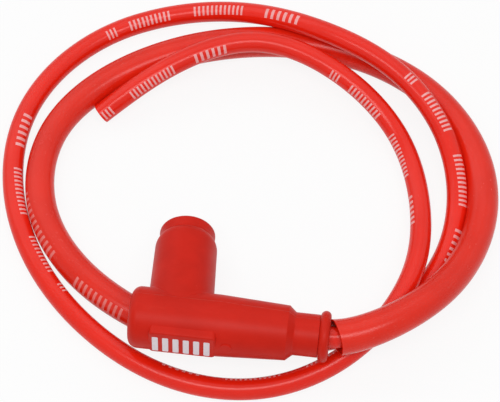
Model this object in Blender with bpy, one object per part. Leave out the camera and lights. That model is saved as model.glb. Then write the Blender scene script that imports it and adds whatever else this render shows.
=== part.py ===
"""Elbow spark plug cap of silicone rubber, with its coiled ignition cable and a loose sleeve.

The cap lies on its side: the barrel is level along +X, the stub points along +Y and droops
until its lip touches the ground, and the cable leaves the collar and makes 2.4 turns.
Metres, +Z up, origin on the ground under the middle of the cap.
"""

import math

import bmesh
import bpy
import numpy as np
from mathutils import Matrix, Vector

# Where the barrel and stub axes meet, and how the cap lies
ELBOW_AT = (-0.0163, -0.0138, 0.0192)
STUB_DROOP = math.radians(16.5)
STUB_LEAN = math.radians(3.4)

# Clearance between touching pieces, and how far a cutter runs past an open end
GAP = 0.0003
CUT_BEYOND = 0.0030

# Barrel of the boot, along the cable's axis
BACK_LENGTH = 0.0154
BARREL_RADIUS = 0.0098
BARREL_CORNER = 0.0030
END_DOME = 0.0005
TAPER_START = 0.0126
SHOULDER_AT = 0.0344
SHOULDER_RADIUS = 0.0087
SHOULDER_SLOPE = 0.0022
NECK_RADIUS = 0.0068
NECK_LENGTH = 0.0078
COLLAR_WIDTH = 0.0033
COLLAR_RADIUS = 0.0082

# Stub of the boot, along the plug's axis
STUB_ROOT_RADIUS = 0.0093
STUB_WIDE_RADIUS = 0.0104
STUB_RADIUS = 0.0101
STUB_ROUND_AT = 0.0298
STUB_ROUND = 0.0036
THROAT_RADIUS = 0.0089
THROAT_END = 0.0350
LIP_RADIUS = 0.0091
LIP_ROUND = 0.0011
STUB_LENGTH = 0.0378
PLUG_BORE_RADIUS = 0.0056
MOUTH_FLARE = 0.0009

# Raised pad on the side away from the stub, turned a little downwards and set high on its face
PAD_AT = 0.0021
PAD_RISE = 0.0013
PAD_LENGTH = 0.0212
PAD_HEIGHT = 0.0110
PAD_FACE = 0.0098
PAD_TURN = math.radians(6.5)
PAD_BEVEL = 0.0007

# Insulator core inside the boot
CORE_RADIUS = 0.0066
CORE_BACK = 0.0110
CORE_OVER_TERMINAL = 0.0017
CORE_STUB_RADIUS = 0.0064
CORE_OVER_SOCKET = 0.0008
CORE_CHAMFER = 0.0012
CHAMBER_RADIUS = 0.0035
CHAMBER_BACK = 0.0026

# Socket for the plug's terminal
SOCKET_BORE_RADIUS = 0.0033
SOCKET_WALL = 0.0007
SOCKET_LENGTH = 0.0100
SOCKET_SLOT = 0.0008
SOCKET_SLOT_DEPTH = 0.0065
CLIP_WIRE_RADIUS = 0.0003
CLIP_OPENING = math.radians(50.0)
CLIP_FROM_MOUTH = 0.0030
WASHER_THICKNESS = 0.0006

# Contact stud between the socket and the resistor
STUD_RADIUS = 0.0015
STUD_BACK = 0.0050
STUD_HEAD_RADIUS = 0.0026
STUD_HEAD = 0.0009
STUD_THROUGH = 0.0080

# Resistor, its end caps and the spring behind it
RESISTOR_RADIUS = 0.0026
RESISTOR_LENGTH = 0.0150
END_CAP_WALL = 0.0003
END_CAP_DEPTH = 0.0030
END_CAP_FLOOR = 0.0004
SPRING_WIRE_RADIUS = 0.0003
SPRING_RADIUS = 0.0023
SPRING_LENGTH = 0.0035
SPRING_TURNS = 4

# Ignition cable and the brass terminal on its end
CABLE_RADIUS = 0.0035
TERMINAL_WALL = 0.0004
TERMINAL_FLOOR = 0.0007
TERMINAL_LENGTH = 0.0045
STATION_SPACING = 0.0142

# Sleeve over the first turn of the cable
SLEEVE_WALL = 0.0006
SLEEVE_START = 0.0021
SLEEVE_LENGTH = 0.3600
SLEEVE_RADII = (
    0.0056, 0.0055, 0.0052, 0.0048, 0.0048, 0.0048, 0.0048,
    0.0050, 0.0051, 0.0050, 0.0046, 0.0045, 0.0051, 0.0050,
)

# Places that the cable passes after the collar, on the ground and over its own turns
EXIT_HEADING = (1.0, 0.1, 0.0)
ROUTE = (
    (0.0445, -0.0102, 0.0193),
    (0.0599, 0.0019, 0.0175),
    (0.0726, 0.0222, 0.0105),
    (0.0766, 0.0523, 0.0052),
    (0.0616, 0.0809, 0.0050),
    (0.0350, 0.0968, 0.0050),
    (0.0055, 0.1004, 0.0050),
    (-0.0239, 0.0951, 0.0050),
    (-0.0499, 0.0817, 0.0050),
    (-0.0684, 0.0583, 0.0047),
    (-0.0683, 0.0287, 0.0047),
    (-0.0513, 0.0051, 0.0051),
    (-0.0265, -0.0086, 0.0047),
    (-0.0120, -0.0122, 0.0036),
    (0.0100, -0.0118, 0.0035),
    (0.0340, -0.0068, 0.0035),
    (0.0576, 0.0107, 0.0035),
    (0.0682, 0.0388, 0.0042),
    (0.0629, 0.0667, 0.0093),
    (0.0434, 0.0887, 0.0143),
    (0.0168, 0.1015, 0.0146),
    (-0.0110, 0.1092, 0.0079),
    (-0.0399, 0.1059, 0.0037),
    (-0.0648, 0.0896, 0.0035),
    (-0.0792, 0.0639, 0.0035),
    (-0.0791, 0.0343, 0.0035),
    (-0.0664, 0.0074, 0.0035),
    (-0.0450, -0.0138, 0.0035),
    (-0.0186, -0.0265, 0.0035),
    (0.0111, -0.0274, 0.0043),
    (0.0378, -0.0141, 0.0085),
    (0.0541, 0.0103, 0.0110),
    (0.0566, 0.0398, 0.0065),
    (0.0468, 0.0675, 0.0070),
    (0.0245, 0.0864, 0.0135),
    (-0.0040, 0.0943, 0.0140),
    (-0.0310, 0.0828, 0.0130),
    (-0.0541, 0.0659, 0.0038),
)

# Sides of the round pieces
BOOT_SIDES = 40
CORE_SIDES = 32
SMALL_SIDES = 24

# Places worked out from the sizes above, along the barrel's axis
NECK_AT = SHOULDER_AT + SHOULDER_SLOPE
COLLAR_AT = NECK_AT + NECK_LENGTH
CABLE_EXIT = COLLAR_AT + COLLAR_WIDTH
INNER_CAP_AT = STUD_RADIUS + GAP
RESISTOR_AT = INNER_CAP_AT + END_CAP_FLOOR + GAP
RESISTOR_END = RESISTOR_AT + RESISTOR_LENGTH
OUTER_CAP_END = RESISTOR_END + GAP + END_CAP_FLOOR
SPRING_AT = OUTER_CAP_END + GAP
SPRING_END = SPRING_AT + SPRING_LENGTH
TERMINAL_AT = SPRING_END + GAP
CABLE_START = TERMINAL_AT + TERMINAL_FLOOR + GAP
TERMINAL_END = CABLE_START + TERMINAL_LENGTH
CORE_FRONT = TERMINAL_END + CORE_OVER_TERMINAL

# Places and radii along the stub's axis
SOCKET_SEAT = STUD_THROUGH
SOCKET_AT = SOCKET_SEAT + GAP + WASHER_THICKNESS + GAP
SOCKET_FLOOR = SOCKET_WALL
CORE_STUB_LENGTH = SOCKET_AT + SOCKET_LENGTH + CORE_OVER_SOCKET
SOCKET_RADIUS = SOCKET_BORE_RADIUS + SOCKET_WALL
CLIP_RADIUS = SOCKET_RADIUS + GAP + CLIP_WIRE_RADIUS
SOCKET_POCKET_RADIUS = CLIP_RADIUS + CLIP_WIRE_RADIUS + GAP


def arc(centre, radius, start, end, steps):
    """Points of a circular arc in the profile plane, as (radius, height) pairs, angles in degrees."""
    angles = np.radians(np.linspace(start, end, steps + 1))
    return [(centre[0] + radius * math.cos(a), centre[1] + radius * math.sin(a)) for a in angles]


def add_object(name, data, parent, material=None):
    """Links a new object under its parent, with its material."""
    obj = bpy.data.objects.new(name, data)
    bpy.context.scene.collection.objects.link(obj)
    obj.parent = parent
    if material is not None:
        data.materials.append(material)
    return obj


def add_empty(name, parent, rotation, location=(0.0, 0.0, 0.0)):
    """An empty that carries the pieces of one axis."""
    empty = add_object(name, None, parent)
    empty.rotation_euler = rotation
    empty.location = location
    return empty


def make_material(name, colour, roughness, metallic=0.0):
    """A Principled material with a plain finish."""
    material = bpy.data.materials.new(name)
    material.use_nodes = True
    shader = material.node_tree.nodes["Principled BSDF"]
    shader.inputs["Base Color"].default_value = (*colour, 1.0)
    shader.inputs["Roughness"].default_value = roughness
    shader.inputs["Metallic"].default_value = metallic
    return material


def turned_mesh(name, profile, sides, closed=False):
    """A body turned about +Z from a profile of (radius, height) pairs.

    An open profile starts and ends on the axis. A closed one is a ring's section.
    """
    mesh = bpy.data.meshes.new(name)
    bm = bmesh.new()
    verts = [bm.verts.new((radius, 0.0, height)) for radius, height in profile]
    edges = [bm.edges.new(pair) for pair in zip(verts, verts[1:])]
    if closed:
        edges.append(bm.edges.new((verts[-1], verts[0])))
    bmesh.ops.spin(
        bm, geom=verts + edges, cent=(0.0, 0.0, 0.0), axis=(0.0, 0.0, 1.0),
        dvec=(0.0, 0.0, 0.0), angle=math.tau, steps=sides, use_merge=True, use_duplicate=False,
    )
    bmesh.ops.remove_doubles(bm, verts=bm.verts[:], dist=1e-6)
    bmesh.ops.recalc_face_normals(bm, faces=bm.faces[:])
    bm.to_mesh(mesh)
    bm.free()
    mesh.shade_smooth()
    mesh.set_sharp_from_angle(angle=math.radians(35.0))
    return mesh


def turned(name, profile, parent, material, sides=SMALL_SIDES, closed=False):
    """A turned piece on its parent's axis."""
    return add_object(name, turned_mesh(name, profile, sides, closed), parent, material)


def helper(name, mesh, parent):
    """A form that only cuts or joins other pieces."""
    obj = add_object(name, mesh, parent)
    obj.hide_render = True
    obj.display_type = "WIRE"
    return obj


def boolean(obj, other, operation):
    """Cuts or joins a piece with a helper."""
    modifier = obj.modifiers.new(other.name, "BOOLEAN")
    modifier.object = other
    modifier.operation = operation
    modifier.solver = "EXACT"


def tube(name, points, radius, parent, material, resolution, scale=None, filled=True):
    """A round tube through the points, as a poly curve with a bevel."""
    curve = bpy.data.curves.new(name, "CURVE")
    curve.dimensions = "3D"
    curve.twist_mode = "Z_UP"
    curve.bevel_depth = radius
    curve.bevel_resolution = resolution
    curve.use_fill_caps = filled
    spline = curve.splines.new("POLY")
    spline.points.add(len(points) - 1)
    for index, place in enumerate(points):
        spline.points[index].co = (*place, 1.0)
        spline.points[index].radius = 1.0 if scale is None else scale[index]
    return add_object(name, curve, parent, material)


def barrel_profile():
    """Outside of the barrel, from the closed end to the face of the collar."""
    round_centre = (BARREL_RADIUS - BARREL_CORNER, BARREL_CORNER - BACK_LENGTH)
    collar_round = COLLAR_WIDTH / 2.0
    collar_centre = (COLLAR_RADIUS - collar_round, COLLAR_AT + collar_round)
    return [
        (0.0, -BACK_LENGTH - END_DOME),
        *arc(round_centre, BARREL_CORNER, -90.0, 0.0, 5),
        (BARREL_RADIUS, TAPER_START),
        (SHOULDER_RADIUS, SHOULDER_AT),
        (NECK_RADIUS, NECK_AT),
        (NECK_RADIUS, COLLAR_AT),
        *arc(collar_centre, collar_round, -90.0, 90.0, 8),
        (0.0, CABLE_EXIT),
    ]


def stub_profile():
    """Outside of the stub, from the elbow to its mouth."""
    lip_centre = (LIP_RADIUS - LIP_ROUND, STUB_LENGTH - LIP_ROUND)
    return [
        (0.0, 0.0),
        (STUB_ROOT_RADIUS, 0.0),
        (STUB_WIDE_RADIUS, BARREL_RADIUS),
        (STUB_RADIUS, STUB_ROUND_AT),
        *arc((STUB_RADIUS - STUB_ROUND, STUB_ROUND_AT), STUB_ROUND, 20.0, 45.0, 2),
        (THROAT_RADIUS, STUB_ROUND_AT + STUB_ROUND),
        (THROAT_RADIUS, THROAT_END),
        *arc(lip_centre, LIP_ROUND, 0.0, 90.0, 4),
        (0.0, STUB_LENGTH),
    ]


def pad_mesh():
    """The raised pad: a bevelled block that reaches to the barrel's axis, with its face along -Y."""
    mesh = bpy.data.meshes.new("pad_form")
    bm = bmesh.new()
    place = Matrix.Translation((PAD_AT, -PAD_FACE / 2.0, PAD_RISE))
    size = Matrix.Diagonal((PAD_LENGTH, PAD_FACE, PAD_HEIGHT, 1.0))
    bmesh.ops.create_cube(bm, size=1.0, matrix=place @ size)
    front = [edge for edge in bm.edges if any(vert.co.y < -PAD_FACE + GAP for vert in edge.verts)]
    bmesh.ops.bevel(bm, geom=front, offset=PAD_BEVEL, segments=2, profile=0.5, affect="EDGES")
    bm.to_mesh(mesh)
    bm.free()
    return mesh


def make_boot(cap, barrel, stub, material):
    """The one-piece rubber moulding: barrel, stub and pad, hollow for the core, plug and cable."""
    boot = turned("silicone_boot", barrel_profile(), barrel, material, BOOT_SIDES)
    boolean(boot, helper("stub_form", turned_mesh("stub_form", stub_profile(), BOOT_SIDES), stub), "UNION")
    pad = helper("pad_form", pad_mesh(), cap)
    pad.rotation_euler = (PAD_TURN, 0.0, 0.0)
    boolean(boot, pad, "UNION")

    core_radius = CORE_RADIUS + GAP
    cable_radius = CABLE_RADIUS + GAP
    barrel_hollow = [
        (0.0, -CORE_BACK - GAP),
        (core_radius - CORE_CHAMFER, -CORE_BACK - GAP),
        (core_radius, -CORE_BACK - GAP + CORE_CHAMFER),
        (core_radius, CORE_FRONT + GAP),
        (cable_radius, CORE_FRONT + GAP),
        (cable_radius, CABLE_EXIT + CUT_BEYOND),
        (0.0, CABLE_EXIT + CUT_BEYOND),
    ]
    cutter = turned_mesh("barrel_hollow", barrel_hollow, CORE_SIDES)
    boolean(boot, helper("barrel_hollow", cutter, barrel), "DIFFERENCE")

    stub_radius = CORE_STUB_RADIUS + GAP
    stub_hollow = [
        (0.0, 0.0),
        (stub_radius, 0.0),
        (stub_radius, CORE_STUB_LENGTH + GAP),
        (PLUG_BORE_RADIUS, CORE_STUB_LENGTH + GAP),
        (PLUG_BORE_RADIUS, STUB_LENGTH - MOUTH_FLARE),
        (PLUG_BORE_RADIUS + 2.0 * MOUTH_FLARE, STUB_LENGTH + MOUTH_FLARE),
        (0.0, STUB_LENGTH + MOUTH_FLARE),
    ]
    cutter = turned_mesh("stub_hollow", stub_hollow, CORE_SIDES)
    boolean(boot, helper("stub_hollow", cutter, stub), "DIFFERENCE")
    return boot


def make_core(barrel, stub, material):
    """The insulator core: an elbow with the resistor's chamber and the socket's pocket."""
    outside = [
        (0.0, -CORE_BACK),
        (CORE_RADIUS - CORE_CHAMFER, -CORE_BACK),
        (CORE_RADIUS, -CORE_BACK + CORE_CHAMFER),
        (CORE_RADIUS, CORE_FRONT),
        (0.0, CORE_FRONT),
    ]
    core = turned("insulator_core", outside, barrel, material, CORE_SIDES)
    arm = [
        (0.0, 0.0),
        (CORE_STUB_RADIUS, 0.0),
        (CORE_STUB_RADIUS, CORE_STUB_LENGTH),
        (0.0, CORE_STUB_LENGTH),
    ]
    boolean(core, helper("core_arm", turned_mesh("core_arm", arm, CORE_SIDES), stub), "UNION")

    terminal_radius = CABLE_RADIUS + GAP + TERMINAL_WALL + GAP
    chamber = [
        (0.0, -CHAMBER_BACK),
        (CHAMBER_RADIUS, -CHAMBER_BACK),
        (CHAMBER_RADIUS, TERMINAL_AT - GAP),
        (terminal_radius, TERMINAL_AT - GAP),
        (terminal_radius, CORE_FRONT + CUT_BEYOND),
        (0.0, CORE_FRONT + CUT_BEYOND),
    ]
    boolean(core, helper("chamber", turned_mesh("chamber", chamber, SMALL_SIDES), barrel), "DIFFERENCE")

    hole_radius = STUD_RADIUS + GAP
    pocket = [
        (0.0, -STUD_BACK - GAP),
        (hole_radius, -STUD_BACK - GAP),
        (hole_radius, SOCKET_SEAT),
        (SOCKET_POCKET_RADIUS, SOCKET_SEAT),
        (SOCKET_POCKET_RADIUS, CORE_STUB_LENGTH + CUT_BEYOND),
        (0.0, CORE_STUB_LENGTH + CUT_BEYOND),
    ]
    boolean(core, helper("pocket", turned_mesh("pocket", pocket, SMALL_SIDES), stub), "DIFFERENCE")
    return core


def make_socket(stub, brass, steel):
    """The plug's terminal socket, slotted so that it springs, with its wire clip and washer."""
    mouth = SOCKET_AT + SOCKET_LENGTH
    hole_radius = STUD_RADIUS + GAP
    section = [
        (hole_radius, SOCKET_AT),
        (SOCKET_RADIUS, SOCKET_AT),
        (SOCKET_RADIUS, mouth),
        (SOCKET_BORE_RADIUS, mouth),
        (SOCKET_BORE_RADIUS, SOCKET_AT + SOCKET_FLOOR),
        (hole_radius, SOCKET_AT + SOCKET_FLOOR),
    ]
    socket = turned("plug_socket", section, stub, brass, SMALL_SIDES, closed=True)
    slots = bpy.data.meshes.new("socket_slots")
    bm = bmesh.new()
    place = Matrix.Translation((0.0, 0.0, mouth))
    for quarter in range(2):
        turn = Matrix.Rotation(quarter * math.pi / 2.0 + math.pi / 4.0, 4, "Z")
        size = Matrix.Diagonal((4.0 * SOCKET_RADIUS, SOCKET_SLOT, 2.0 * SOCKET_SLOT_DEPTH, 1.0))
        bmesh.ops.create_cube(bm, size=1.0, matrix=place @ turn @ size)
    bm.to_mesh(slots)
    bm.free()
    cutter = helper("socket_slots", slots, stub)
    boolean(socket, cutter, "DIFFERENCE")

    washer = [
        (hole_radius, SOCKET_SEAT + GAP),
        (SOCKET_RADIUS, SOCKET_SEAT + GAP),
        (SOCKET_RADIUS, SOCKET_SEAT + GAP + WASHER_THICKNESS),
        (hole_radius, SOCKET_SEAT + GAP + WASHER_THICKNESS),
    ]
    turned("socket_washer", washer, stub, steel, SMALL_SIDES, closed=True)

    height = mouth - CLIP_FROM_MOUTH
    angles = np.linspace(CLIP_OPENING / 2.0, math.tau - CLIP_OPENING / 2.0, SMALL_SIDES)
    ring = [(CLIP_RADIUS * math.cos(a), CLIP_RADIUS * math.sin(a), height) for a in angles]
    tube("socket_clip", ring, CLIP_WIRE_RADIUS, stub, steel, 1)


def make_stud(stub, material):
    """The stud that carries the current from the socket to the resistor."""
    head_at = SOCKET_AT + SOCKET_FLOOR + GAP
    profile = [
        (0.0, -STUD_BACK),
        (STUD_RADIUS, -STUD_BACK),
        (STUD_RADIUS, head_at),
        (STUD_HEAD_RADIUS, head_at),
        (STUD_HEAD_RADIUS, head_at + STUD_HEAD / 2.0),
        (STUD_RADIUS, head_at + STUD_HEAD),
        (0.0, head_at + STUD_HEAD),
    ]
    turned("contact_stud", profile, stub, material)


def end_cap_section(floor_at, direction):
    """Section of a resistor's end cap, a cup whose floor is at one end."""
    inner = RESISTOR_RADIUS + GAP
    outer = inner + END_CAP_WALL
    floor_top = floor_at + direction * END_CAP_FLOOR
    rim = floor_top + direction * END_CAP_DEPTH
    return [
        (0.0, floor_at),
        (outer, floor_at),
        (outer, rim),
        (inner, rim),
        (inner, floor_top),
        (0.0, floor_top),
    ]


def make_resistor(barrel, ceramic, steel):
    """The ceramic resistor between its two metal end caps, and the spring that presses on them."""
    rod = [
        (0.0, RESISTOR_AT),
        (RESISTOR_RADIUS, RESISTOR_AT),
        (RESISTOR_RADIUS, RESISTOR_END),
        (0.0, RESISTOR_END),
    ]
    turned("resistor_rod", rod, barrel, ceramic)
    turned("resistor_cap_inner", end_cap_section(INNER_CAP_AT, 1.0), barrel, steel)
    turned("resistor_cap_outer", end_cap_section(OUTER_CAP_END, -1.0), barrel, steel)

    steps = 12 * SPRING_TURNS
    first = SPRING_AT + SPRING_WIRE_RADIUS
    travel = SPRING_LENGTH - 2.0 * SPRING_WIRE_RADIUS
    coil = []
    for step in range(steps + 1):
        share = step / steps
        angle = share * SPRING_TURNS * math.tau
        coil.append((SPRING_RADIUS * math.cos(angle), SPRING_RADIUS * math.sin(angle), first + share * travel))
    tube("contact_spring", coil, SPRING_WIRE_RADIUS, barrel, steel, 1)


def make_terminal(barrel, material):
    """The brass cup crimped on the cable's end."""
    inner = CABLE_RADIUS + GAP
    outer = inner + TERMINAL_WALL
    floor_top = TERMINAL_AT + TERMINAL_FLOOR
    profile = [
        (0.0, TERMINAL_AT),
        (outer, TERMINAL_AT),
        (outer, TERMINAL_END),
        (inner, TERMINAL_END),
        (inner, floor_top),
        (0.0, floor_top),
    ]
    turned("cable_terminal", profile, barrel, material)


def smooth_route(places, heading, step=0.001):
    """A smooth cubic curve through the places, leaving the first one along the heading."""
    places = np.array(places, dtype=float)
    lengths = np.linalg.norm(np.diff(places, axis=0), axis=1)
    count = len(places)
    system = np.zeros((count, count))
    targets = np.zeros((count, 3))
    system[0, 0] = 1.0
    targets[0] = np.array(heading) / np.linalg.norm(heading)
    for i in range(1, count - 1):
        before, after = lengths[i - 1], lengths[i]
        system[i, i - 1:i + 2] = (after, 2.0 * (before + after), before)
        slope_before = (places[i] - places[i - 1]) / before
        slope_after = (places[i + 1] - places[i]) / after
        targets[i] = 3.0 * (after * slope_before + before * slope_after)
    system[-1, -2:] = (1.0, 2.0)
    targets[-1] = 3.0 * (places[-1] - places[-2]) / lengths[-1]
    slopes = np.linalg.solve(system, targets)

    curve = []
    for i, length in enumerate(lengths):
        for t in np.linspace(0.0, 1.0, max(2, round(length / step)), endpoint=False):
            start_share = 2.0 * t**3 - 3.0 * t**2 + 1.0
            place = start_share * places[i] + (1.0 - start_share) * places[i + 1]
            place += (t**3 - 2.0 * t**2 + t) * length * slopes[i]
            place += (t**3 - t**2) * length * slopes[i + 1]
            curve.append(place)
    curve.append(places[-1])
    return np.array(curve)


def distances_along(curve):
    """Distance from the start to each point of a curve."""
    return np.concatenate([[0.0], np.cumsum(np.linalg.norm(np.diff(curve, axis=0), axis=1))])


def places_at(curve, along, wanted):
    """Points of a curve at the wanted distances."""
    return np.stack([np.interp(wanted, along, curve[:, axis]) for axis in range(3)], axis=1)


def make_cable(barrel, rubber, sleeve_rubber):
    """The cable from its terminal to its cut end, and the sleeve round its first turn."""
    axis_to_world = barrel.matrix_world
    start = axis_to_world @ Vector((0.0, 0.0, CABLE_START))
    leave = axis_to_world @ Vector((0.0, 0.0, CABLE_EXIT + GAP))
    curve = smooth_route([tuple(leave), *ROUTE], EXIT_HEADING)
    along = distances_along(curve)
    free = along[-1] - SLEEVE_START
    count = round(free / STATION_SPACING)
    stations = SLEEVE_START + np.arange(count + 1) * free / count
    points = places_at(curve, along, stations)

    route = np.array([tuple(leave), *ROUTE])
    nearest = [along[np.argmin(np.linalg.norm(curve - place, axis=1))] for place in route]
    sleeve_count = int(np.searchsorted(stations, SLEEVE_START + SLEEVE_LENGTH))
    radii = np.interp(stations[:sleeve_count], nearest[:len(SLEEVE_RADII)], SLEEVE_RADII)
    lowest = np.full(len(points), CABLE_RADIUS)
    lowest[:sleeve_count] = radii
    points[:, 2] = np.maximum(points[:, 2], lowest)

    tube("ignition_cable", [tuple(start), tuple(leave), *map(tuple, points)], CABLE_RADIUS, None, rubber, 4)
    scale = radii / radii[0]
    sleeve = tube(
        "cable_sleeve", list(map(tuple, points[:sleeve_count])), radii[0], None, sleeve_rubber, 4,
        scale=scale, filled=False,
    )
    wall = sleeve.modifiers.new("wall", "SOLIDIFY")
    wall.thickness = SLEEVE_WALL
    wall.offset = -1.0


def main():
    """Builds the cap, what it holds, and the cable."""
    for obj in list(bpy.data.objects):
        bpy.data.objects.remove(obj)

    silicone = make_material("red_silicone", (0.52, 0.022, 0.012), 0.55)
    cable_red = make_material("red_cable_jacket", (0.72, 0.028, 0.015), 0.35)
    sleeve_red = make_material("red_sleeve", (0.66, 0.026, 0.014), 0.38)
    resin = make_material("dark_resin", (0.03, 0.02, 0.015), 0.45)
    brass = make_material("brass", (0.72, 0.50, 0.20), 0.30, 1.0)
    steel = make_material("plated_steel", (0.62, 0.62, 0.60), 0.30, 1.0)
    ceramic = make_material("ceramic", (0.80, 0.78, 0.72), 0.40)

    cap = add_empty("cap_pose", None, (-STUB_DROOP, 0.0, 0.0), ELBOW_AT)
    barrel = add_empty("barrel_axis", cap, (0.0, math.pi / 2.0, 0.0))
    stub = add_empty("stub_axis", cap, (-math.pi / 2.0, 0.0, STUB_LEAN))
    bpy.context.view_layer.update()

    make_boot(cap, barrel, stub, silicone)
    make_core(barrel, stub, resin)
    make_socket(stub, brass, steel)
    make_stud(stub, brass)
    make_resistor(barrel, ceramic, steel)
    make_terminal(barrel, brass)
    make_cable(barrel, cable_red, sleeve_red)
    bpy.context.view_layer.update()


main()
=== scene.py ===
"""Visual model of an elbow spark plug cap of red silicone rubber on its coiled ignition cable.

The boot, the cable and the loose sleeve are surfaces worked out from their sizes. The metal, resin
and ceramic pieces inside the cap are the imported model's own, with their finishes.
Metres, +Z up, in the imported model's frame.
"""

import logging
import math
from dataclasses import dataclass, field
from enum import Enum
from typing import Any, Iterable, Mapping, Sequence, Union

import bpy
import numpy as np
from mathutils import Matrix, Vector


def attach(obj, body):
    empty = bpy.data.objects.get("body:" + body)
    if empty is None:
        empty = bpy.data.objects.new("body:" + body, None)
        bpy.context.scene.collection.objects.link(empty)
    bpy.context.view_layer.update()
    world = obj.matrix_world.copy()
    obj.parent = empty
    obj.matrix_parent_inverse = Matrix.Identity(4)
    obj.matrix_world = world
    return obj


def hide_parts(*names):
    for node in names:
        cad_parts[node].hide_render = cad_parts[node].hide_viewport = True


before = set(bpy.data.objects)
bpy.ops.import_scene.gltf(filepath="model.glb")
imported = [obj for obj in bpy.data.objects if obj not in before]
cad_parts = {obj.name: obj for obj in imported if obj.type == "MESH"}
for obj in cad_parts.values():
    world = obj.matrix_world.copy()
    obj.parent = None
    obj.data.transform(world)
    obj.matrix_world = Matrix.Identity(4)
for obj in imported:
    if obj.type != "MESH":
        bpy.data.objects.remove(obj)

LOG = logging.getLogger("spark_plug_cap")
PHOTO_WIDTH = 500.0
CREASE_ANGLE = math.radians(32.0)
BODY = "root"

Colour = tuple[float, float, float]
Point = tuple[float, float, float]
Pair = tuple[float, float]


# Shader graphs

class Signal:
    """A value socket that takes part in arithmetic: each operation adds its Math node."""

    def __init__(self, bench: "ShaderBench", socket: bpy.types.NodeSocket) -> None:
        """Wraps a socket of the bench's graph."""
        self.bench = bench
        self.socket = socket

    def _math(self, operation: str, *values: Any) -> "Signal":
        """Adds one Math node.

        Args:
            operation: the Math node's operation.
            values: its inputs, numbers or signals.

        Returns:
            The node's result.
        """
        node = self.bench.node("ShaderNodeMath", {"operation": operation}, dict(enumerate(values)))
        return Signal(self.bench, node.outputs[0])

    def __add__(self, other: Any) -> "Signal":
        """Sum."""
        return self._math("ADD", self, other)

    __radd__ = __add__

    def __sub__(self, other: Any) -> "Signal":
        """Difference."""
        return self._math("SUBTRACT", self, other)

    def __rsub__(self, other: Any) -> "Signal":
        """Difference, with the signal taken away."""
        return self._math("SUBTRACT", other, self)

    def __mul__(self, other: Any) -> "Signal":
        """Product."""
        return self._math("MULTIPLY", self, other)

    __rmul__ = __mul__

    def __abs__(self) -> "Signal":
        """Size without its sign."""
        return self._math("ABSOLUTE", self)

    def ramp(self, low: float, high: float) -> "Signal":
        """Rises smoothly from 0 at low to 1 at high.

        Args:
            low: the value where the ramp starts.
            high: the value where it ends; below low, the ramp falls.

        Returns:
            The eased value.
        """
        inputs = {"Value": self, "From Min": low, "From Max": high, "To Min": 0.0, "To Max": 1.0}
        node = self.bench.node("ShaderNodeMapRange", {"interpolation_type": "SMOOTHSTEP"}, inputs)
        return Signal(self.bench, node.outputs["Result"])


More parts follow.
